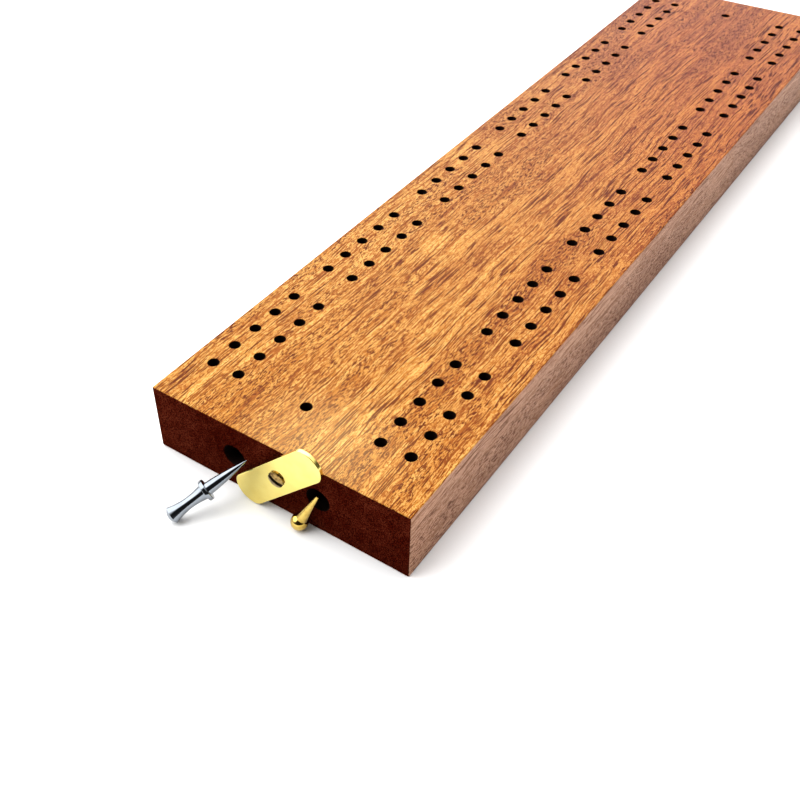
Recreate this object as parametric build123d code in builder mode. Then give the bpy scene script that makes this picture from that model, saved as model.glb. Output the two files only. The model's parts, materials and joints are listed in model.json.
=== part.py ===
from build123d import *
import os

# Cribbage board with four peg rows, two peg stores in its front end, a swinging cover plate and four pegs.
# Millimetres. The origin is the middle of the underside, +Z is up, and the front end faces -Y.

# Board
board_width = 72.0
board_length = 297.0
board_thickness = 19.0
edge_ease = 0.4
front_y = -board_length / 2

# Peg holes, drilled from the top
peg_hole_radius = 1.5
peg_hole_depth = 12.0
drill_point_height = 0.9
row_places = (-29.8, -22.0, 18.5, 26.4)
groups_per_row = 6
holes_per_group = 5
group_pitch = 47.0
hole_pitch = 8.0
end_margin = 15.0
game_hole_x = -1.9

# Peg stores, drilled into the front end
store_radius = 3.175
store_depth = 50.0
left_store_x = -11.8
right_store_x = 12.0
store_z = 9.7
store_end_gap = 1.0

# Cover plate on its screw
pivot_x = 2.35
pivot_z = 12.5
cover_length = 31.1
cover_width = 8.6
cover_thickness = 1.0
cover_end_radius = 4.8
cover_corner_radius = 2.8
cover_edge_round = 0.2
cover_swing = 45.3
cover_running_gap = 0.08
face_gap = 0.05

# Spacer washer between the cover plate and the board
spacer_radius = 3.2
spacer_thickness = 1.05

# Round-headed wood screw
screw_head_radius = 2.1
screw_head_base_radius = 2.0
screw_head_height = 0.8
screw_head_edge = 0.35
screw_shank_radius = 1.4
screw_plain_length = 6.0
screw_thread_length = 8.0
screw_core_radius = 0.95
screw_point_length = 2.5
thread_pitch = 1.0
thread_crest_radius = 1.35
shank_hole_radius = 1.45
shank_hole_depth = 4.0
pilot_radius = 1.2
pilot_depth = 15.0
slot_width = 1.15
slot_depth = 0.6
slot_turn = -24.0

# Silver peg, measured from its tip along its axis
silver_tip_radius = 0.12
silver_shank_middle = (1.08, 5.6)
silver_shank_radius = 1.55
silver_collar_start = 11.0
silver_collar_radius = 2.65
silver_collar_thickness = 1.05
silver_neck_radius = 1.95
silver_waist = (1.4, 16.2)
silver_rim_radius = 2.15
silver_rim_place = 21.15
silver_length = 22.2
silver_round = 0.2

# Brass peg, measured from its tip along its axis
brass_tip_radius = 0.35
brass_shank_radius = 1.4
brass_ball_radius = 2.1
brass_ball_place = 10.4

# Where the two loose pegs lean on the front end, with their heads on the table
silver_lean_tip = Vector(-7.6, front_y - 0.4, 11.2)
silver_lean_head = Vector(-16.95, front_y - 16.95, 2.0)
brass_lean_tip = Vector(12.45, front_y - 0.42, 11.5)
brass_lean_head = Vector(8.2, front_y - 2.16, 2.13)

os.makedirs("parts", exist_ok=True)

top_plane = Plane.XY.offset(board_thickness)
front_plane = Plane(origin=(0, front_y, 0), x_dir=(1, 0, 0), z_dir=(0, -1, 0))
first_hole_y = front_y + end_margin
last_hole_y = -first_hole_y
row_hole_points = [
    (row_x, first_hole_y + group * group_pitch + hole * hole_pitch)
    for row_x in row_places
    for group in range(groups_per_row)
    for hole in range(holes_per_group)
]
game_hole_points = [(game_hole_x, first_hole_y), (game_hole_x, last_hole_y)]
peg_hole_points = row_hole_points + game_hole_points


def cap_radius(rim_radius, height):
    """Radius of the sphere whose cap has this rim radius and height."""
    return (rim_radius**2 + height**2) / (2 * height)


def axial_plane(start, towards):
    """Plane for a turned piece's half outline: its Y runs from start, its X is the radius."""
    along = (towards - start).normalized()
    across = along.cross(Vector(0, 0, 1)).normalized()
    return Plane(origin=start, x_dir=across, z_dir=across.cross(along))


# ---------------------------------------------------------------- board
with BuildPart() as board:
    with BuildSketch(Plane.XY):
        Rectangle(board_width, board_length)
    extrude(amount=board_thickness)
    fillet(board.edges(), radius=edge_ease)
    # Blind peg holes and their drill points
    with BuildSketch(top_plane):
        with Locations(*peg_hole_points):
            Circle(peg_hole_radius)
    extrude(amount=-peg_hole_depth, mode=Mode.SUBTRACT)
    with Locations(*[(x, y, board_thickness - peg_hole_depth) for x, y in peg_hole_points]):
        Cone(0, peg_hole_radius, drill_point_height, align=(Align.CENTER, Align.CENTER, Align.MAX),
             mode=Mode.SUBTRACT)
    # The two peg stores
    with BuildSketch(front_plane):
        with Locations((left_store_x, store_z), (right_store_x, store_z)):
            Circle(store_radius)
    extrude(amount=-store_depth, mode=Mode.SUBTRACT)
    # Pilot hole for the cover's screw
    with BuildSketch(front_plane):
        with Locations((pivot_x, pivot_z)):
            Circle(shank_hole_radius)
    extrude(amount=-shank_hole_depth, mode=Mode.SUBTRACT)
    with BuildSketch(front_plane):
        with Locations((pivot_x, pivot_z)):
            Circle(pilot_radius)
    extrude(amount=-pilot_depth, mode=Mode.SUBTRACT)
board.part.label = "board"
export_step(board.part, "parts/board.step")


# ---------------------------------------------------------------- spacer washer
pivot_plane = Plane(origin=(pivot_x, front_y, pivot_z), x_dir=(1, 0, 0), z_dir=(0, -1, 0))
with BuildPart() as cover_spacer:
    with BuildSketch(pivot_plane):
        Circle(spacer_radius)
        Circle(screw_shank_radius + cover_running_gap, mode=Mode.SUBTRACT)
    extrude(amount=spacer_thickness)
cover_spacer.part.label = "cover_spacer"
export_step(cover_spacer.part, "parts/cover_spacer.step")


# ---------------------------------------------------------------- cover plate
cover_back = spacer_thickness + face_gap
cover_plane = Plane(origin=(pivot_x, front_y - cover_back, pivot_z),
                    x_dir=Vector(1, 0, 0).rotate(Axis.Y, -cover_swing), z_dir=(0, -1, 0))
half_length = cover_length / 2
half_width = cover_width / 2
end_rise = cover_end_radius - (cover_end_radius**2 - half_width**2) ** 0.5
side_end = half_length - end_rise
with BuildPart() as cover_plate:
    with BuildSketch(cover_plane) as cover_outline:
        with BuildLine():
            Line((-side_end, half_width), (side_end, half_width))
            ThreePointArc((side_end, half_width), (half_length, 0), (side_end, -half_width))
            Line((side_end, -half_width), (-side_end, -half_width))
            ThreePointArc((-side_end, -half_width), (-half_length, 0), (-side_end, half_width))
        make_face()
        fillet(cover_outline.vertices(), radius=cover_corner_radius)
        Circle(screw_shank_radius + cover_running_gap, mode=Mode.SUBTRACT)
    extrude(amount=cover_thickness)
    cover_front_edges = cover_plate.faces().sort_by(Axis.Y)[0].outer_wire().edges()
    fillet(cover_front_edges, radius=cover_edge_round)
cover_plate.part.label = "cover_plate"
export_step(cover_plate.part, "parts/cover_plate.step")


# ---------------------------------------------------------------- cover screw
head_back = cover_back + cover_thickness + face_gap
head_cap = cap_radius(screw_head_radius, screw_head_height - screw_head_edge)
screw_start = Vector(pivot_x, front_y - head_back, pivot_z)
screw_axial = Plane(origin=screw_start, x_dir=(1, 0, 0), z_dir=(0, 0, -1))
thread_start = -screw_plain_length
thread_end = thread_start - screw_thread_length
thread_turns = int(screw_thread_length / thread_pitch)
with BuildPart() as cover_screw:
    with BuildSketch(screw_axial):
        with BuildLine():
            Line((0, 0), (screw_head_base_radius, 0))
            Line((screw_head_base_radius, 0), (screw_head_radius, screw_head_edge))
            RadiusArc((screw_head_radius, screw_head_edge), (0, screw_head_height), -head_cap)
            Line((0, screw_head_height), (0, 0))
        make_face()
        with BuildLine():
            Polyline((0, 0), (screw_shank_radius, 0), (screw_shank_radius, thread_start),
                     (screw_core_radius, thread_start), (screw_core_radius, thread_end),
                     (0, thread_end - screw_point_length), (0, 0))
        make_face()
        for turn in range(thread_turns):
            crest = thread_start - (turn + 0.5) * thread_pitch
            with BuildLine():
                Polyline((screw_core_radius - 0.1, crest - 0.35), (thread_crest_radius, crest - 0.05),
                         (thread_crest_radius, crest + 0.05), (screw_core_radius - 0.1, crest + 0.35),
                         close=True)
            make_face()
    revolve(axis=Axis(screw_start, (0, -1, 0)))
    with BuildSketch(pivot_plane.offset(head_back + screw_head_height)):
        Rectangle(2.5 * screw_head_radius, slot_width, rotation=slot_turn)
    extrude(amount=-slot_depth, mode=Mode.SUBTRACT)
cover_screw.part.label = "cover_screw"
export_step(cover_screw.part, "parts/cover_screw.step")


# ---------------------------------------------------------------- silver pegs
store_back_y = front_y + store_depth - store_end_gap
silver_stored_tip = Vector(left_store_x, store_back_y, store_z)
silver_places = {
    "silver_peg_loose": axial_plane(silver_lean_tip, silver_lean_head),
    "silver_peg_stored": axial_plane(silver_stored_tip, silver_stored_tip - Vector(0, 1, 0)),
}
collar_end = silver_collar_start + silver_collar_thickness
end_cap = cap_radius(silver_rim_radius, silver_length - silver_rim_place)
for peg_name, peg_plane in silver_places.items():
    with BuildPart() as silver_peg:
        with BuildSketch(peg_plane):
            with BuildLine():
                Line((0, 0), (silver_tip_radius, 0))
                ThreePointArc((silver_tip_radius, 0), silver_shank_middle,
                              (silver_shank_radius, silver_collar_start))
                Polyline((silver_shank_radius, silver_collar_start),
                         (silver_collar_radius - silver_round, silver_collar_start),
                         (silver_collar_radius, silver_collar_start + silver_round),
                         (silver_collar_radius, collar_end - silver_round),
                         (silver_collar_radius - silver_round, collar_end),
                         (silver_neck_radius, collar_end))
                ThreePointArc((silver_neck_radius, collar_end), silver_waist,
                              (silver_rim_radius, silver_rim_place))
                RadiusArc((silver_rim_radius, silver_rim_place), (0, silver_length), -end_cap)
                Line((0, silver_length), (0, 0))
            make_face()
        revolve(axis=Axis(peg_plane.origin, peg_plane.y_dir))
    silver_peg.part.label = peg_name
    export_step(silver_peg.part, f"parts/{peg_name}.step")


# ---------------------------------------------------------------- brass pegs
brass_stored_tip = Vector(right_store_x, store_back_y, store_z)
brass_places = {
    "brass_peg_loose": axial_plane(brass_lean_tip, brass_lean_head),
    "brass_peg_stored": axial_plane(brass_stored_tip, brass_stored_tip - Vector(0, 1, 0)),
}
brass_length = brass_ball_place + brass_ball_radius
brass_shank_end = brass_ball_place - (brass_ball_radius**2 - brass_shank_radius**2) ** 0.5
for peg_name, peg_plane in brass_places.items():
    with BuildPart() as brass_peg:
        with BuildSketch(peg_plane):
            with BuildLine():
                Line((0, 0), (brass_tip_radius, 0))
                Line((brass_tip_radius, 0), (brass_shank_radius, brass_shank_end))
                ThreePointArc((brass_shank_radius, brass_shank_end), (brass_ball_radius, brass_ball_place),
                              (0, brass_length))
                Line((0, brass_length), (0, 0))
            make_face()
        revolve(axis=Axis(peg_plane.origin, peg_plane.y_dir))
    brass_peg.part.label = peg_name
    export_step(brass_peg.part, f"parts/{peg_name}.step")
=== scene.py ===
"""Looks for the cribbage board: wood block, brass cover plate and screw, silver and brass pegs."""
import json
import math

import bmesh
import bpy
from mathutils import Matrix, Vector


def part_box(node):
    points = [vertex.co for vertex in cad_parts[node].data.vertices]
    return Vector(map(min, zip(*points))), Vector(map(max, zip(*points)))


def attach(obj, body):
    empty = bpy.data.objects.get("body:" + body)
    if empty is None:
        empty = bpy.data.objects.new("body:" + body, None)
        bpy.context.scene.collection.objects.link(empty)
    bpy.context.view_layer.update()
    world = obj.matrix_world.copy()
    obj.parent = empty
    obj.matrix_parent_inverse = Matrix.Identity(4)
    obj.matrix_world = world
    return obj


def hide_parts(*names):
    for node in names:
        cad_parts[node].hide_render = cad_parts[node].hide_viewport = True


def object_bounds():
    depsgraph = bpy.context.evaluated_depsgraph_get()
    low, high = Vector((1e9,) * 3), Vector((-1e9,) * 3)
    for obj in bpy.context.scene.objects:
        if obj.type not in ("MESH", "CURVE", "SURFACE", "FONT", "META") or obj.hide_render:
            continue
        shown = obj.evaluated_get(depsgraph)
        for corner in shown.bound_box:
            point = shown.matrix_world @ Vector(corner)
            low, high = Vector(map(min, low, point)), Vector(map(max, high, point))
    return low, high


MM = 0.001

# Board, in metres
EDGE_EASE = 0.4 * MM
EASE_STEPS = 4
PEG_HOLE_RADIUS = 1.5 * MM
PEG_HOLE_RIM = 0.07 * MM
PEG_HOLE_DEPTH = 12 * MM
DRILL_POINT = 0.9 * MM
ROW_PLACES = (-29.8 * MM, -22.0 * MM, 18.5 * MM, 26.4 * MM)
GROUPS_PER_ROW = 6
HOLES_PER_GROUP = 5
GROUP_PITCH = 47 * MM
HOLE_PITCH = 8 * MM
STORE_RADIUS = 3.175 * MM
STORE_RIM = 0.12 * MM
STORE_DEPTH = 50 * MM
STORE_PLACES = (-11.8 * MM, 12.0 * MM)
STORE_HEIGHT = 9.7 * MM
SHANK_HOLE_RADIUS = 1.45 * MM
SHANK_HOLE_DEPTH = 4 * MM
PILOT_RADIUS = 1.2 * MM
PILOT_DEPTH = 15 * MM
DRILL_OVERRUN = 1 * MM
# A face of the block counts as outside, and as flat, from these shares of its normal along an axis
OUTSIDE_SLANT = 0.5
FLAT_SLANT = 0.9999

# Cover plate and its screw
COVER_SWING = math.radians(45.3)
COVER_END_RADIUS = 4.8 * MM
COVER_CORNER_RADIUS = 2.8 * MM
COVER_LENGTH = 31.1 * MM
COVER_WIDTH = 8.6 * MM
COVER_EDGE_ROUND = 0.2 * MM
COVER_BACK_EDGE = 0.25 * COVER_EDGE_ROUND
COVER_FLAT_START = 1.3 * COVER_EDGE_ROUND
COVER_HOLE_EASE = 0.5 * COVER_EDGE_ROUND
COVER_HOLE_RADIUS = 1.48 * MM
SCREW_HEAD_RADIUS = 2.1 * MM
SCREW_HEAD_BASE_RADIUS = 2.0 * MM
SCREW_HEAD_HEIGHT = 0.8 * MM
SCREW_HEAD_EDGE = 0.35 * MM
SCREW_SHANK_RADIUS = 1.4 * MM
SCREW_CORE_RADIUS = 0.95 * MM
SCREW_CREST_RADIUS = 1.35 * MM
SCREW_PLAIN = 6 * MM
SCREW_THREAD = 8 * MM
SCREW_POINT = 2.5 * MM
THREAD_PITCH = 1 * MM
THREAD_HALF_FOOT = 0.3 * THREAD_PITCH
THREAD_HALF_CREST = 0.05 * THREAD_PITCH
FACE_GAP = 0.05 * MM
SLOT_WIDTH = 1.15 * MM
SLOT_DEPTH = 0.6 * MM
SLOT_TURN = math.radians(-24)
SLOT_REACH = 2.6 * SCREW_HEAD_RADIUS
# Faces within the band are the slot's and get the slot's painted shade, apart from those of the dome beside it
SLOT_HALF_BAND = 0.55 * SLOT_WIDTH
SLOT_FLOOR_MARGIN = 0.1 * MM
DOME_SLANT = -0.4
HEAD_ROUND = 0.08 * MM
HEAD_CORNER = 0.3 * HEAD_ROUND
HEAD_STEPS = 20
END_STEPS = 14
CORNER_STEPS = 12
SIDE_STEPS = 24
EDGE_STEPS = 5

# Silver peg, measured from its tip
SILVER_TIP_RADIUS = 0.12 * MM
SILVER_SHANK_MIDDLE = (1.08 * MM, 5.6 * MM)
SILVER_SHANK_RADIUS = 1.55 * MM
SILVER_COLLAR_START = 11.0 * MM
SILVER_COLLAR_END = 12.05 * MM
SILVER_COLLAR_RADIUS = 2.65 * MM
COLLAR_ROUND = 0.2 * MM
SILVER_NECK_RADIUS = 1.95 * MM
SILVER_WAIST = (1.4 * MM, 16.2 * MM)
SILVER_RIM_RADIUS = 2.15 * MM
SILVER_RIM_PLACE = 21.15 * MM
SILVER_LENGTH = 22.2 * MM
TIP_TOLERANCE = 0.002 * MM
CURVE_STEPS = 24
DOME_STEPS = 14

# Brass peg, measured from its tip
BRASS_TIP_RADIUS = 0.35 * MM
BRASS_SHANK_RADIUS = 1.4 * MM
BALL_RADIUS = 2.1 * MM
BALL_PLACE = 10.4 * MM
SHANK_STEPS = 6
BALL_STEPS = 32

# Turning and shading of the meshes
TURNED_SEGMENTS = 96
PEG_HOLE_SEGMENTS = 40
STORE_SEGMENTS = 64
PILOT_SEGMENTS = 32
SHARP_ANGLE = math.radians(35)
FINE_SHARP_ANGLE = math.radians(30)

# Camera and surroundings
CAMERA_PLACE = (0.10584, -0.26651, 0.17624)
CAMERA_AIM = (-0.44677, 0.58754, -0.67468)
CAMERA_ROLL = math.radians(-1.96)
CAMERA_LENS = 45.84
CAMERA_SENSOR = 36.0
CAMERA_SHIFT = (0.0885, 0.0039)
CAMERA_NEAR = 0.01
FLOOR_REACH = 3.0
FLOOR_GAP = 0.02 * MM
FLOOR_TONES = ((0.9, 0.9, 0.9), (0.93, 0.93, 0.93))
SKY_DARK = (0.12, 0.12, 0.125)
SKY_OVERHEAD = (1.6, 1.6, 1.6)
OVERHEAD_EDGES = (0.45, 0.75)
# Soft patches of the sky, later ones over earlier ones: direction, colour, and where each starts and is full
SKY_PATCHES = (
    ((-0.45, 0.55, 0.70), (4.5, 4.5, 4.5), 0.66, 0.90),
    ((-0.65, -0.25, 0.72), (4.2, 4.2, 4.2), 0.66, 0.90),
    ((0.42, -0.72, 0.55), (0.03, 0.03, 0.03), 0.70, 0.88),
)

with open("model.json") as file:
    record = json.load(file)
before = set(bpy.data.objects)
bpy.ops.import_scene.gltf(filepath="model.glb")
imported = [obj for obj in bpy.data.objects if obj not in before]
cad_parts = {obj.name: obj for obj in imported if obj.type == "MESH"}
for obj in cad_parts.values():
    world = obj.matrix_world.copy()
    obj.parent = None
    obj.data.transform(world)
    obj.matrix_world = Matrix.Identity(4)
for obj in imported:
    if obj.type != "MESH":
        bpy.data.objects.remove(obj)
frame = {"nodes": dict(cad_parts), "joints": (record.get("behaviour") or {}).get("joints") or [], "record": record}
cad_bounds = [list(corner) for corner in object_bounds()]
record = frame["record"]
mounts = {mount["name"]: mount for mount in record["mounts"]}
joints = {joint["name"]: joint for joint in frame["joints"]}


# ---------------------------------------------------------------- mesh helpers
def new_object(name, mesh):
    """Link a mesh into the scene as an object."""
    piece = bpy.data.objects.new(name, mesh)
    bpy.context.scene.collection.objects.link(piece)
    return piece


def arc(first, middle, last, count):
    """Points on the circle through three profile points, from the second to the last."""
    (ax, ay), (bx, by), (cx, cy) = first, middle, last
    turn = 2 * (ax * (by - cy) + bx * (cy - ay) + cx * (ay - by))
    a, b, c = ax * ax + ay * ay, bx * bx + by * by, cx * cx + cy * cy
    centre_x = (a * (by - cy) + b * (cy - ay) + c * (ay - by)) / turn
    centre_y = (a * (cx - bx) + b * (ax - cx) + c * (bx - ax)) / turn
    radius = math.hypot(ax - centre_x, ay - centre_y)
    start = math.atan2(ay - centre_y, ax - centre_x)
    sweep = math.remainder(math.atan2(cy - centre_y, cx - centre_x) - start, math.tau)
    return [(centre_x + radius * math.cos(start + sweep * step / count),
             centre_y + radius * math.sin(start + sweep * step / count))
            for step in range(1, count + 1)]


def cap(rim_radius, place, height, count):
    """Points of a low spherical cap, from its rim to its top on the axis."""
    radius = (rim_radius**2 + height**2) / (2 * height)
    edge = math.asin(rim_radius / radius)
    return [(radius * math.sin(edge * (1 - step / count)),
             place + height - radius + radius * math.cos(edge * (1 - step / count)))
            for step in range(1, count + 1)]


def axis_matrix(origin, along):
    """Local +Z along the given direction, from the origin."""
    turn = Vector(along).normalized().to_track_quat("Z", "Y")
    return Matrix.Translation(origin) @ turn.to_matrix().to_4x4()


def lathe_into(bm, profile, place, segments):
    """Turn a profile of (radius, height) points about local Z and add it to bm."""
    rings = []
    for radius, height in profile:
        if radius < 1e-9:
            rings.append([bm.verts.new(place @ Vector((0, 0, height)))])
            continue
        rings.append([bm.verts.new(place @ Vector((radius * math.cos(math.tau * k / segments),
                                                   radius * math.sin(math.tau * k / segments),
                                                   height)))
                      for k in range(segments)])
    for low, high in zip(rings, rings[1:]):
        for k in range(segments):
            following = (k + 1) % segments
            if len(low) == 1:
                bm.faces.new((low[0], high[following], high[k]))
            elif len(high) == 1:
                bm.faces.new((low[k], low[following], high[0]))
            else:
                bm.faces.new((low[k], low[following], high[following], high[k]))


def smooth_below(bm, sharp_angle):
    """Smooth faces, with edges sharp above the given angle."""
    for face in bm.faces:
        face.smooth = True
    for edge in bm.edges:
        edge.smooth = len(edge.link_faces) == 2 and edge.calc_face_angle() < sharp_angle


def finish_mesh(bm, name, sharp_angle=SHARP_ANGLE):
    """Turn bm into an object with outward normals and smooth faces, sharp above the given angle."""
    bmesh.ops.recalc_face_normals(bm, faces=bm.faces)
    smooth_below(bm, sharp_angle)
    mesh = bpy.data.meshes.new(name)
    bm.to_mesh(mesh)
    bm.free()
    return new_object(name, mesh)


def turned(name, profile, origin, along, sharp_angle=SHARP_ANGLE):
    """A closed turned piece from a profile that starts and ends on the axis."""
    bm = bmesh.new()
    lathe_into(bm, profile, axis_matrix(origin, along), TURNED_SEGMENTS)
    return finish_mesh(bm, name, sharp_angle)


def cut(target, cutter):
    """Subtract one object from another for good, and delete the cutter."""
    boolean = target.modifiers.new("cut", "BOOLEAN")
    boolean.operation = "DIFFERENCE"
    boolean.solver = "EXACT"
    boolean.object = cutter
    depsgraph = bpy.context.evaluated_depsgraph_get()
    mesh = bpy.data.meshes.new_from_object(target.evaluated_get(depsgraph))
    target.modifiers.clear()
    target.data = mesh
    bpy.data.objects.remove(cutter)


def peg_axis(node):
    """Middle of a turned peg's tip and the way from it to the head's end, from the CAD node's vertices."""
    vertices = frame["nodes"][node].data.vertices
    points = {tuple(round(value, 8) for value in vertex.co) for vertex in vertices}
    points = [Vector(point) for point in sorted(points)]
    one_end = max(points, key=lambda point: (point - points[0]).length)
    other_end = max(points, key=lambda point: (point - one_end).length)
    apex = min((one_end, other_end), key=lambda point: point.y)
    reach = (one_end - other_end).length
    ring = [point for point in points if (point - apex).length > reach - TIP_TOLERANCE]
    tip = sum(ring, Vector()) / len(ring)
    return tip, apex - tip


# ---------------------------------------------------------------- material helpers
# Colour sockets of Blender's mix node, which share their names with its other sockets
MIX_FACTOR, MIX_FIRST, MIX_SECOND, MIX_RESULT = 0, 6, 7, 2


def new_material(name):
    """A node material, its node tree and its shader."""
    made = bpy.data.materials.new(name)
    made.use_nodes = True
    return made, made.node_tree, made.node_tree.nodes["Principled BSDF"]


def add_node(tree, kind, inputs=None, **settings):
    """Add a shader node, with its settings and its inputs: values are set and sockets are linked."""
    added = tree.nodes.new(kind)
    for key, value in settings.items():
        setattr(added, key, value)
    for key, value in (inputs or {}).items():
        if isinstance(value, bpy.types.NodeSocket):
            tree.links.new(value, added.inputs[key])
        else:
            added.inputs[key].default_value = value
    return added


def vector_maths(tree, operation, first, second):
    """One sum on vectors."""
    return add_node(tree, "ShaderNodeVectorMath", {0: first, 1: second}, operation=operation)


def object_point(tree, scale=(1, 1, 1), warp=0.0, warp_scale=(1, 1, 1)):
    """Object coordinates in millimetres, scaled and optionally bent by slow noise."""
    place = add_node(tree, "ShaderNodeTexCoord").outputs["Object"]
    place = vector_maths(tree, "MULTIPLY", place, (1 / MM,) * 3).outputs[0]
    if warp:
        slow = vector_maths(tree, "MULTIPLY", place, warp_scale).outputs[0]
        bend = add_node(tree, "ShaderNodeTexNoise", {"Vector": slow, "Scale": 1.0, "Detail": 2.0})
        bend = vector_maths(tree, "SUBTRACT", bend.outputs["Color"], (0.5, 0.5, 0.5)).outputs[0]
        bend = vector_maths(tree, "MULTIPLY", bend, (warp, 0.0, warp)).outputs[0]
        place = vector_maths(tree, "ADD", place, bend).outputs[0]
    return vector_maths(tree, "MULTIPLY", place, scale).outputs[0]


def noise(tree, point, detail=2.0, roughness=0.5, distortion=0.0):
    """Noise value at a point."""
    made = add_node(tree, "ShaderNodeTexNoise", {"Vector": point, "Scale": 1.0, "Detail": detail,
                                                "Roughness": roughness, "Distortion": distortion})
    return made.outputs["Fac"]


def ramp(tree, value, low, high, out_low=0.0, out_high=1.0):
    """Smooth step of a value between two limits."""
    made = add_node(tree, "ShaderNodeMapRange", {"Value": value, "From Min": low, "From Max": high,
                                                "To Min": out_low, "To Max": out_high},
                    interpolation_type="SMOOTHSTEP")
    return made.outputs["Result"]


def mix_colour(tree, factor, first, second, blend="MIX"):
    """Blend two colours, each a socket or three numbers, by a socket's value."""
    made = add_node(tree, "ShaderNodeMix", data_type="RGBA", blend_type=blend)
    tree.links.new(factor, made.inputs[MIX_FACTOR])
    for socket, value in ((MIX_FIRST, first), (MIX_SECOND, second)):
        if isinstance(value, bpy.types.NodeSocket):
            tree.links.new(value, made.inputs[socket])
        else:
            made.inputs[socket].default_value = (*value, 1.0)
    return made.outputs[MIX_RESULT]


def maths(tree, operation, first, second):
    """One sum on values."""
    return add_node(tree, "ShaderNodeMath", {0: first, 1: second}, operation=operation).outputs[0]


def colour_ramp(tree, value, stops):
    """Colours by value, from a list of (value, colour)."""
    made = add_node(tree, "ShaderNodeValToRGB", {"Fac": value})
    elements = made.color_ramp.elements
    while len(elements) < len(stops):
        elements.new(0.5)
    for element, (place, colour) in zip(elements, stops):
        element.position = place
        element.color = (*colour, 1.0)
    return made.outputs["Color"]


# ---------------------------------------------------------------- materials
# Grain: turns per millimetre across, along and up, with the long way along Y
FIGURE_SCALE = (0.085, 0.011, 0.085)
FIGURE_WANDER = (16.0, (0.014, 0.01, 0.014))
STREAK_SCALE = (0.55, 0.010, 0.55)
LINE_SCALE = (2.6, 0.060, 2.6)
DASH_SCALE = (3.3, 0.60, 3.3)
PORE_SCALE = (4.2, 1.2, 4.2)
GRAIN_WANDER = (5.0, (0.03, 0.022, 0.03))
PORE_DEPTH = 0.03 * MM
PORE_BUMP = 0.5
MARKS_ROUGHER = 0.2

# Wood colours from darkest to brightest
TOP_COLOURS = ((0.095, 0.017, 0.001), (0.25, 0.064, 0.004), (0.42, 0.165, 0.020), (0.62, 0.37, 0.10))
# Side colours are paler and greyer than the top's: the wood's own tone with a painted sheen
SIDE_SHEEN_COLOURS = ((0.13, 0.05, 0.026), (0.29, 0.13, 0.066), (0.44, 0.215, 0.125), (0.56, 0.32, 0.20))
# End colours are near black: the end grain's own darker tone deepened by painted shade
END_SHADE_COLOURS = ((0.009, 0.0005, 0.0003), (0.030, 0.0019, 0.0007), (0.052, 0.0048, 0.0017),
               (0.10, 0.020, 0.009))
TONE_STOPS = (0.05, 0.38, 0.68, 1.0)

# The top is darker and redder toward the back and right, partly the wood's own tone and partly painted shade, and
# has a painted sheen, a paler patch around one place near the front, in millimetres
# Darker and redder toward the back and right: partly the wood's own tone, partly painted shade
REDDER = (0.62, 0.34, 0.10)
REDDER_SCALE = (1 / 150, 1 / 220, 0.0)
REDDER_EDGES = (-0.7, 0.5)
# Painted sheen: a paler patch on the top near the front, standing in for a reflection of the light
SHEEN_PAINT_COLOUR = (0.72, 0.50, 0.22)
SHEEN_PAINT_SHARE = 0.16
SHEEN_PAINT_PLACE = (8.0, -143.0, 0.0)
SHEEN_PAINT_SPREAD = (1 / 26, 1 / 26, 0.0)


def redden_shade_and_sheen(tree, colour, redder):
    """Redden and darken a colour toward the back by the given share, partly the wood's own tone and partly painted
    shade, and pale it near the front of the top with a painted sheen.
    """
    # Darker and redder toward the back and right: partly the wood's own tone, partly painted shade
    drift = add_node(tree, "ShaderNodeSeparateXYZ", {0: object_point(tree, REDDER_SCALE)})
    drift = maths(tree, "ADD", drift.outputs["X"], drift.outputs["Y"])
    colour = mix_colour(tree, ramp(tree, drift, *REDDER_EDGES, 0.0, redder), colour, REDDER, "MULTIPLY")
    # Painted sheen: pale the colour within a patch near the front of the top
    away = vector_maths(tree, "SUBTRACT", object_point(tree), SHEEN_PAINT_PLACE).outputs[0]
    away = vector_maths(tree, "MULTIPLY", away, SHEEN_PAINT_SPREAD).outputs[0]
    away = add_node(tree, "ShaderNodeVectorMath", {0: away}, operation="LENGTH").outputs["Value"]
    return mix_colour(tree, ramp(tree, away, 0.1, 1.0, SHEEN_PAINT_SHARE, 0.0), colour, SHEEN_PAINT_COLOUR)


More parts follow.
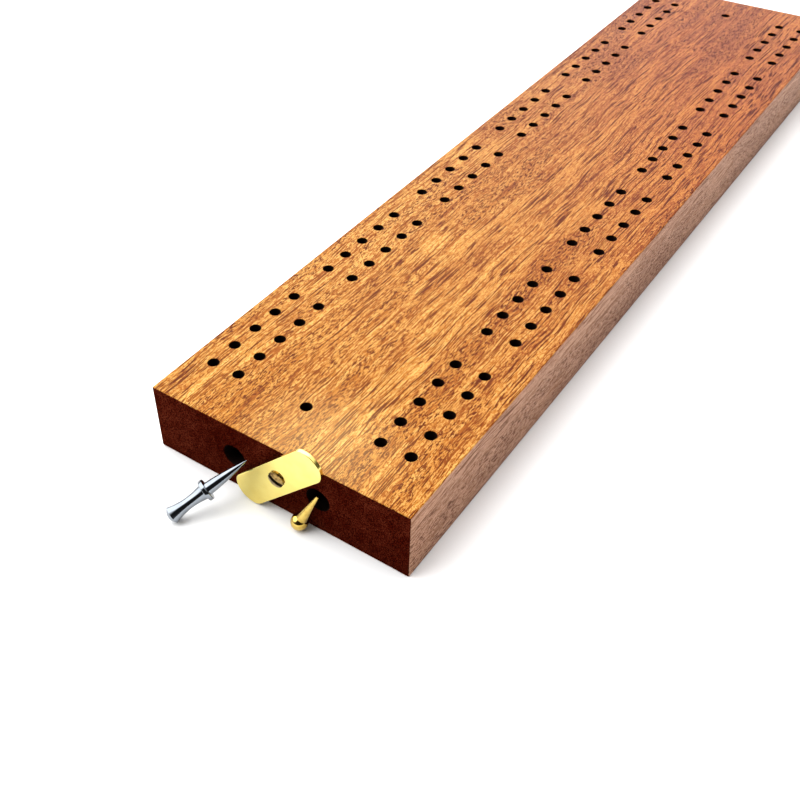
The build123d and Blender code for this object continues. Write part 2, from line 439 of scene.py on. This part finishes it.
def wood(name, colours, contrast, roughness, specular, redder=0.0):
    """Open-pored hardwood with its grain along Y: ribbon figure, long fine lines and short dark pores."""
    made, tree, shader = new_material(name)
    figure = noise(tree, object_point(tree, FIGURE_SCALE, *FIGURE_WANDER), 4.0, 0.6)
    streak = noise(tree, object_point(tree, STREAK_SCALE, *GRAIN_WANDER), 3.0, 0.7)
    lines = noise(tree, object_point(tree, LINE_SCALE, *GRAIN_WANDER), 3.0, 0.65)
    dashes = noise(tree, object_point(tree, DASH_SCALE, *GRAIN_WANDER), 2.0, 0.6, 0.5)
    pores = noise(tree, object_point(tree, PORE_SCALE, *GRAIN_WANDER), 1.0, 0.5, 0.5)
    ribbon = ramp(tree, figure, 0.42, 0.58)
    line_share = maths(tree, "MULTIPLY", ramp(tree, lines, 0.51, 0.57),
                       ramp(tree, ribbon, 0.0, 1.0, 1.0, 0.35))
    dash_share = maths(tree, "MULTIPLY", ramp(tree, dashes, 0.51, 0.56),
                       ramp(tree, ribbon, 0.0, 1.0, 0.35, 1.0))
    pore_share = ramp(tree, pores, 0.55, 0.64, 0.0, 0.55)
    marks = maths(tree, "MAXIMUM", maths(tree, "MAXIMUM", line_share, dash_share), pore_share)
    tone = ramp(tree, streak, 0.30, 0.70, 0.74, 0.98)
    tone = maths(tree, "ADD", tone, ramp(tree, figure, 0.35, 0.70, 0.06, -0.14))
    tone = maths(tree, "SUBTRACT", tone, maths(tree, "MULTIPLY", marks, contrast))
    colour = colour_ramp(tree, tone, tuple(zip(TONE_STOPS, colours)))
    if redder:
        colour = redden_shade_and_sheen(tree, colour, redder)
    tree.links.new(colour, shader.inputs["Base Color"])
    gloss = ramp(tree, marks, 0.0, 1.0, roughness, roughness + MARKS_ROUGHER)
    tree.links.new(gloss, shader.inputs["Roughness"])
    shader.inputs["Specular IOR Level"].default_value = specular
    height = maths(tree, "SUBTRACT", 1.0, marks)
    dent = add_node(tree, "ShaderNodeBump", {"Height": height, "Strength": PORE_BUMP, "Distance": PORE_DEPTH})
    tree.links.new(dent.outputs["Normal"], shader.inputs["Normal"])
    return made


def drilled_wood(name, colour):
    """Near-black walls of the drilled holes: painted shade for the dark inside of the holes."""
    made, tree, shader = new_material(name)
    rings = noise(tree, object_point(tree, (0.8, 0.8, 6.0)), 2.0)
    tree.links.new(mix_colour(tree, rings, tuple(0.6 * value for value in colour), colour),
                   shader.inputs["Base Color"])
    shader.inputs["Roughness"].default_value = 0.8
    shader.inputs["Specular IOR Level"].default_value = 0.1
    return made


RUB_SCALE = (2.5, 2.5, 9.0)
RUB_BUMP = 0.1
RUB_DEPTH = 0.01 * MM


def metal(name, colour, worn, roughness, scratch, mottle_scale):
    """Metal with slow mottling of its tone and fine rubbed marks in its gloss."""
    made, tree, shader = new_material(name)
    mottle = noise(tree, object_point(tree, (mottle_scale,) * 3), 3.0, 0.6)
    tone = mix_colour(tree, ramp(tree, mottle, 0.4, 0.68), colour, worn)
    tree.links.new(tone, shader.inputs["Base Color"])
    shader.inputs["Metallic"].default_value = 1.0
    rub = noise(tree, object_point(tree, RUB_SCALE), 3.0, 0.6)
    tree.links.new(ramp(tree, rub, 0.3, 0.75, roughness, roughness + scratch), shader.inputs["Roughness"])
    dent = add_node(tree, "ShaderNodeBump", {"Height": rub, "Strength": RUB_BUMP, "Distance": RUB_DEPTH})
    tree.links.new(dent.outputs["Normal"], shader.inputs["Normal"])
    return made


wood_top = wood("wood_top", TOP_COLOURS, 0.84, 0.30, 0.05, redder=1.0)
# Side copy of the wood: paler and greyer, partly painted sheen
wood_side = wood("wood_side", SIDE_SHEEN_COLOURS, 0.72, 0.42, 0.10)
# End copy of the wood: near black, the end grain's darker tone deepened by painted shade
wood_end = wood("wood_end", END_SHADE_COLOURS, 0.85, 0.7, 0.0)
# Painted shade: the walls and rims of the drilled holes are near black
wood_drilled = drilled_wood("wood_drilled", (0.008, 0.002, 0.001))
plate_brass = metal("plate_brass", (0.84, 0.69, 0.20), (0.79, 0.62, 0.155), 0.14, 0.06, 0.12)
screw_brass = metal("screw_brass", (0.30, 0.195, 0.065), (0.075, 0.042, 0.014), 0.20, 0.12, 1.3)
# Painted shade for the inside of the screw's slot
screw_slot_shade = metal("screw_slot_shade", (0.05, 0.035, 0.02), (0.02, 0.014, 0.008), 0.45, 0.2, 1.5)
silver_metal = metal("silver_metal", (0.235, 0.255, 0.28), (0.20, 0.22, 0.245), 0.06, 0.05, 0.4)
peg_brass = metal("peg_brass", (0.60, 0.42, 0.105), (0.46, 0.30, 0.06), 0.05, 0.04, 0.5)


# ---------------------------------------------------------------- board
def peg_hole_points():
    """Places of all the top holes: four rows of grouped holes, and one game hole near each end."""
    first_y = mounts["game_hole_front"]["pos_m"][1]
    rows = [(row_x, first_y + group * GROUP_PITCH + hole * HOLE_PITCH)
            for row_x in ROW_PLACES
            for group in range(GROUPS_PER_ROW)
            for hole in range(HOLES_PER_GROUP)]
    games = [tuple(mounts[name]["pos_m"][:2]) for name in ("game_hole_front", "game_hole_back")]
    return rows + games


def make_board():
    """The block with eased edges, its drilled holes and peg stores cut in, and a material for each face."""
    low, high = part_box("board")
    bm = bmesh.new()
    bmesh.ops.create_cube(bm, size=1.0)
    for vertex in bm.verts:
        vertex.co = Vector(high[i] if vertex.co[i] > 0 else low[i] for i in range(3))
    bmesh.ops.bevel(bm, geom=bm.edges[:], offset=EDGE_EASE, segments=EASE_STEPS, profile=0.5, affect="EDGES")
    block = finish_mesh(bm, "board_block")

    peg_drill = [(0, -PEG_HOLE_DEPTH - DRILL_POINT), (PEG_HOLE_RADIUS, -PEG_HOLE_DEPTH),
                 (PEG_HOLE_RADIUS, -PEG_HOLE_RIM), (PEG_HOLE_RADIUS + PEG_HOLE_RIM, 0),
                 (PEG_HOLE_RADIUS + PEG_HOLE_RIM, DRILL_OVERRUN), (0, DRILL_OVERRUN)]
    store_drill = [(0, -STORE_DEPTH), (STORE_RADIUS, -STORE_DEPTH),
                   (STORE_RADIUS, -STORE_RIM), (STORE_RADIUS + STORE_RIM, 0),
                   (STORE_RADIUS + STORE_RIM, DRILL_OVERRUN), (0, DRILL_OVERRUN)]
    pilot_drill = [(0, -PILOT_DEPTH), (PILOT_RADIUS, -PILOT_DEPTH),
                   (PILOT_RADIUS, -SHANK_HOLE_DEPTH), (SHANK_HOLE_RADIUS, -SHANK_HOLE_DEPTH),
                   (SHANK_HOLE_RADIUS, DRILL_OVERRUN), (0, DRILL_OVERRUN)]
    cutters = bmesh.new()
    for x, y in peg_hole_points():
        lathe_into(cutters, peg_drill, Matrix.Translation((x, y, high.z)), PEG_HOLE_SEGMENTS)
    for x in STORE_PLACES:
        store_mouth = axis_matrix((x, low.y, STORE_HEIGHT), (0, -1, 0))
        lathe_into(cutters, store_drill, store_mouth, STORE_SEGMENTS)
    pivot = joints["cover_swing"]["pos_m"]
    pilot_mouth = axis_matrix((pivot[0], low.y, pivot[2]), (0, -1, 0))
    lathe_into(cutters, pilot_drill, pilot_mouth, PILOT_SEGMENTS)
    cut(block, finish_mesh(cutters, "board_drills"))

    mesh = block.data
    mesh.materials.clear()
    by_axis = (wood_side, wood_end, wood_top)
    for made in (*by_axis, wood_drilled):
        mesh.materials.append(made)
    for face in mesh.polygons:
        gaps = [min(face.center[i] - low[i], high[i] - face.center[i]) for i in range(3)]
        near = [i for i in range(3) if gaps[i] < EDGE_EASE]
        facing = max(near, key=lambda i: abs(face.normal[i])) if near else None
        # Faces away from the outside, the hole walls and rims, get the painted shade of the holes
        drilled = facing is None or abs(face.normal[facing]) < OUTSIDE_SLANT
        face.material_index = len(by_axis) if drilled else facing
        face.use_smooth = drilled or abs(face.normal[facing]) < FLAT_SLANT
    return block


board = make_board()
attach(board, "board")
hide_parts("board")


# ---------------------------------------------------------------- cover plate and its screw
def cover_ring(inset, height):
    """Outline of the plate, moved inwards, as (along, across, height) points; its corners are rounded."""
    arch = COVER_END_RADIUS - COVER_CORNER_RADIUS
    half_width = COVER_WIDTH / 2 - COVER_CORNER_RADIUS
    corner = COVER_CORNER_RADIUS - inset
    lean = math.asin(half_width / arch)
    rise = COVER_END_RADIUS - math.sqrt(COVER_END_RADIUS**2 - (COVER_WIDTH / 2)**2)
    end_centre = COVER_LENGTH / 2 - COVER_END_RADIUS
    quarter = [(end_centre + (arch + corner) * math.cos(lean * step / END_STEPS),
                (arch + corner) * math.sin(lean * step / END_STEPS))
               for step in range(END_STEPS)]
    corner_x = end_centre + arch * math.cos(lean)
    quarter += [(corner_x + corner * math.cos(lean + (math.pi / 2 - lean) * step / CORNER_STEPS),
                 half_width + corner * math.sin(lean + (math.pi / 2 - lean) * step / CORNER_STEPS))
                for step in range(CORNER_STEPS + 1)]
    side = [(corner_x * (1 - 2 * step / SIDE_STEPS), half_width + corner) for step in range(1, SIDE_STEPS)]
    half = quarter + side + [(-x, y) for x, y in reversed(quarter)]
    return [(x, y, height) for x, y in half + [(-x, -y) for x, y in half[1:-1]]]


def hole_ring(outline, radius, height):
    """Round hole edge, one point for each of the outline's, in the same direction from the middle."""
    return [(radius * x / math.hypot(x, y), radius * y / math.hypot(x, y), height) for x, y, _ in outline]


def make_cover():
    """The plate as rings of points from the hole's back edge, round its outside, to the hole's front edge."""
    low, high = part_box("cover_plate")
    thickness = high.y - low.y
    pivot = joints["cover_swing"]["pos_m"]
    place = Matrix((
        (math.cos(COVER_SWING), -math.sin(COVER_SWING), 0, pivot[0]),
        (0, 0, -1, high.y),
        (math.sin(COVER_SWING), math.cos(COVER_SWING), 0, pivot[2]),
        (0, 0, 0, 1),
    ))
    outer = cover_ring(0, 0)
    rings = [hole_ring(outer, COVER_HOLE_RADIUS, 0), cover_ring(COVER_BACK_EDGE, 0),
             cover_ring(0, COVER_BACK_EDGE)]
    for step in range(EDGE_STEPS + 1):
        turn = math.pi / 2 * step / EDGE_STEPS
        rings.append(cover_ring(COVER_EDGE_ROUND * (1 - math.cos(turn)),
                                thickness - COVER_EDGE_ROUND * (1 - math.sin(turn))))
    rings.append(cover_ring(COVER_FLAT_START, thickness))
    rings.append(hole_ring(outer, COVER_HOLE_RADIUS + COVER_HOLE_EASE, thickness))
    rings.append(hole_ring(outer, COVER_HOLE_RADIUS, thickness - COVER_HOLE_EASE))
    bm = bmesh.new()
    loops = [[bm.verts.new(place @ Vector(point)) for point in ring] for ring in rings]
    for first, second in zip(loops, loops[1:] + loops[:1]):
        for k in range(len(outer)):
            following = (k + 1) % len(outer)
            bm.faces.new((first[k], first[following], second[following], second[k]))
    plate = finish_mesh(bm, "cover_plate_polished", FINE_SHARP_ANGLE)
    plate.data.materials.append(plate_brass)
    return plate


def make_screw():
    """Round-headed wood screw along -Y, turned with its thread rings, with a slot cut across its head."""
    low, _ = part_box("cover_plate")
    pivot = joints["cover_swing"]["pos_m"]
    head_base = low.y - FACE_GAP
    thread_end = -SCREW_PLAIN - SCREW_THREAD
    profile = [(0, thread_end - SCREW_POINT), (SCREW_CORE_RADIUS, thread_end)]
    for turn in reversed(range(round(SCREW_THREAD / THREAD_PITCH))):
        crest = -SCREW_PLAIN - (turn + 0.5) * THREAD_PITCH
        profile += [(SCREW_CORE_RADIUS, crest - THREAD_HALF_FOOT),
                    (SCREW_CREST_RADIUS, crest - THREAD_HALF_CREST),
                    (SCREW_CREST_RADIUS, crest + THREAD_HALF_CREST),
                    (SCREW_CORE_RADIUS, crest + THREAD_HALF_FOOT)]
    profile += [(SCREW_SHANK_RADIUS, -SCREW_PLAIN), (SCREW_SHANK_RADIUS, 0),
                (SCREW_HEAD_BASE_RADIUS, 0),
                (SCREW_HEAD_RADIUS - HEAD_CORNER, SCREW_HEAD_EDGE - HEAD_ROUND),
                (SCREW_HEAD_RADIUS, SCREW_HEAD_EDGE - HEAD_CORNER),
                (SCREW_HEAD_RADIUS, SCREW_HEAD_EDGE)]
    profile += cap(SCREW_HEAD_RADIUS, SCREW_HEAD_EDGE, SCREW_HEAD_HEIGHT - SCREW_HEAD_EDGE, HEAD_STEPS)
    origin = Vector((pivot[0], head_base, pivot[2]))
    screw = turned("cover_screw_turned", profile, origin, (0, -1, 0))

    along = Vector((math.cos(SLOT_TURN), 0, math.sin(SLOT_TURN)))
    across = Vector((-math.sin(SLOT_TURN), 0, math.cos(SLOT_TURN)))
    bm = bmesh.new()
    bmesh.ops.create_cube(bm, size=1.0)
    bottom = head_base - SCREW_HEAD_HEIGHT + SLOT_DEPTH
    for vertex in bm.verts:
        x, y, z = vertex.co
        vertex.co = (Vector((pivot[0], bottom if y > 0 else bottom - 3 * SLOT_DEPTH, pivot[2]))
                     + SLOT_REACH * x * along + SLOT_WIDTH * z * across)
    cut(screw, finish_mesh(bm, "screw_slot"))
    smooth_again(screw)
    screw.data.materials.clear()
    for made in (screw_brass, screw_slot_shade):
        screw.data.materials.append(made)
    # Slot faces get the painted shade of the slot's inside
    for face in screw.data.polygons:
        offset = face.center - Vector((pivot[0], 0, pivot[2]))
        in_slot = abs(offset.dot(across)) < SLOT_HALF_BAND and offset.y < bottom + SLOT_DEPTH
        on_dome = face.normal.y < DOME_SLANT and offset.y < bottom - SLOT_FLOOR_MARGIN
        face.material_index = int(in_slot and not on_dome)
    return screw


def smooth_again(piece):
    """Set which edges of a cut piece are sharp."""
    bm = bmesh.new()
    bm.from_mesh(piece.data)
    smooth_below(bm, SHARP_ANGLE)
    bm.to_mesh(piece.data)
    bm.free()


cover = make_cover()
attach(cover, "cover")
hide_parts("cover_plate")

screw = make_screw()
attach(screw, "board")
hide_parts("cover_screw")

for slot in frame["nodes"]["cover_spacer"].material_slots:
    slot.material = plate_brass


# ---------------------------------------------------------------- pegs
def rounded(radius, height, out, up, count=5):
    """Outer corner of a collar: a quarter round from its flat end out to its rim, or back in."""
    inset = COLLAR_ROUND * (1 - math.sqrt(0.5))
    middle = (radius - inset, height + up * inset)
    flat = (radius - COLLAR_ROUND, height)
    rim = (radius, height + up * COLLAR_ROUND)
    return [flat] + arc(flat, middle, rim, count) if out else [rim] + arc(rim, middle, flat, count)


def silver_profile():
    """Outline of a silver peg from its tip: swelling shank, collar, waisted head and domed end."""
    points = [(0, 0), (SILVER_TIP_RADIUS, 0)]
    shank_end = (SILVER_SHANK_RADIUS, SILVER_COLLAR_START)
    points += arc((SILVER_TIP_RADIUS, 0), SILVER_SHANK_MIDDLE, shank_end, CURVE_STEPS)
    points += rounded(SILVER_COLLAR_RADIUS, SILVER_COLLAR_START, True, 1)
    points += rounded(SILVER_COLLAR_RADIUS, SILVER_COLLAR_END, False, -1)
    neck = (SILVER_NECK_RADIUS, SILVER_COLLAR_END)
    points += [neck] + arc(neck, SILVER_WAIST, (SILVER_RIM_RADIUS, SILVER_RIM_PLACE), CURVE_STEPS)
    points += cap(SILVER_RIM_RADIUS, SILVER_RIM_PLACE, SILVER_LENGTH - SILVER_RIM_PLACE, DOME_STEPS)
    return points


def brass_profile():
    """Outline of a brass peg from its tip: tapered shank running into a ball."""
    drop = math.sqrt(BALL_RADIUS**2 - BRASS_SHANK_RADIUS**2)
    shank_end = (BRASS_SHANK_RADIUS, BALL_PLACE - drop)
    steps = [(BRASS_TIP_RADIUS + (BRASS_SHANK_RADIUS - BRASS_TIP_RADIUS) * step / SHANK_STEPS,
              shank_end[1] * step / SHANK_STEPS)
             for step in range(SHANK_STEPS + 1)]
    ball = arc(shank_end, (BALL_RADIUS, BALL_PLACE), (0, BALL_PLACE + BALL_RADIUS), BALL_STEPS)
    return [(0, 0)] + steps + ball


def make_peg(node, body, profile, material):
    """A turned peg in the place of its CAD node."""
    tip, along = peg_axis(node)
    peg = turned(node + "_turned", profile, tip, along, FINE_SHARP_ANGLE)
    peg.data.materials.append(material)
    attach(peg, body)
    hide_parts(node)


for lying in ("loose", "stored"):
    make_peg("silver_peg_" + lying, "silver_" + lying, silver_profile(), silver_metal)
    make_peg("brass_peg_" + lying, "brass_" + lying, brass_profile(), peg_brass)


# ---------------------------------------------------------------- floor, light and camera
def make_floor():
    """Plain white floor under the board."""
    bm = bmesh.new()
    bmesh.ops.create_grid(bm, x_segments=2, y_segments=2, size=FLOOR_REACH)
    bmesh.ops.translate(bm, verts=bm.verts, vec=(0, 0, cad_bounds[0][2] - FLOOR_GAP))
    floor = finish_mesh(bm, "floor")
    made, tree, shader = new_material("floor_paper")
    grain = noise(tree, object_point(tree, (0.05, 0.05, 0.05)), 3.0)
    tree.links.new(mix_colour(tree, grain, *FLOOR_TONES), shader.inputs["Base Color"])
    shader.inputs["Roughness"].default_value = 0.9
    shader.inputs["Specular IOR Level"].default_value = 0.0
    floor.data.materials.append(made)


def make_world():
    """Dark room with white light overhead, two brighter soft patches on the left, and a dark one in front."""
    world = bpy.data.worlds.new("studio")
    world.use_nodes = True
    bpy.context.scene.world = world
    tree = world.node_tree
    background = tree.nodes["Background"]
    way = add_node(tree, "ShaderNodeTexCoord").outputs["Generated"]
    split = add_node(tree, "ShaderNodeSeparateXYZ", {0: way})
    sky = mix_colour(tree, ramp(tree, split.outputs["Z"], *OVERHEAD_EDGES), SKY_DARK, SKY_OVERHEAD)
    for side, colour, start, full in SKY_PATCHES:
        facing = vector_maths(tree, "DOT_PRODUCT", way, side).outputs["Value"]
        sky = mix_colour(tree, ramp(tree, facing, start, full), sky, colour)
    tree.links.new(sky, background.inputs["Color"])
    background.inputs["Strength"].default_value = 1.0


def make_camera():
    """Camera above the front right corner, looking down along the board."""
    data = bpy.data.cameras.new("camera")
    data.lens = CAMERA_LENS
    data.sensor_width = CAMERA_SENSOR
    data.shift_x, data.shift_y = CAMERA_SHIFT
    data.clip_start = CAMERA_NEAR
    camera = bpy.data.objects.new("camera", data)
    aim = Vector(CAMERA_AIM).to_track_quat("-Z", "Y").to_matrix().to_4x4()
    camera.matrix_world = Matrix.Translation(CAMERA_PLACE) @ aim @ Matrix.Rotation(CAMERA_ROLL, 4, "Z")
    bpy.context.scene.collection.objects.link(camera)
    bpy.context.scene.camera = camera


make_floor()
make_world()
make_camera()
bpy.context.scene.view_settings.view_transform = "Standard"
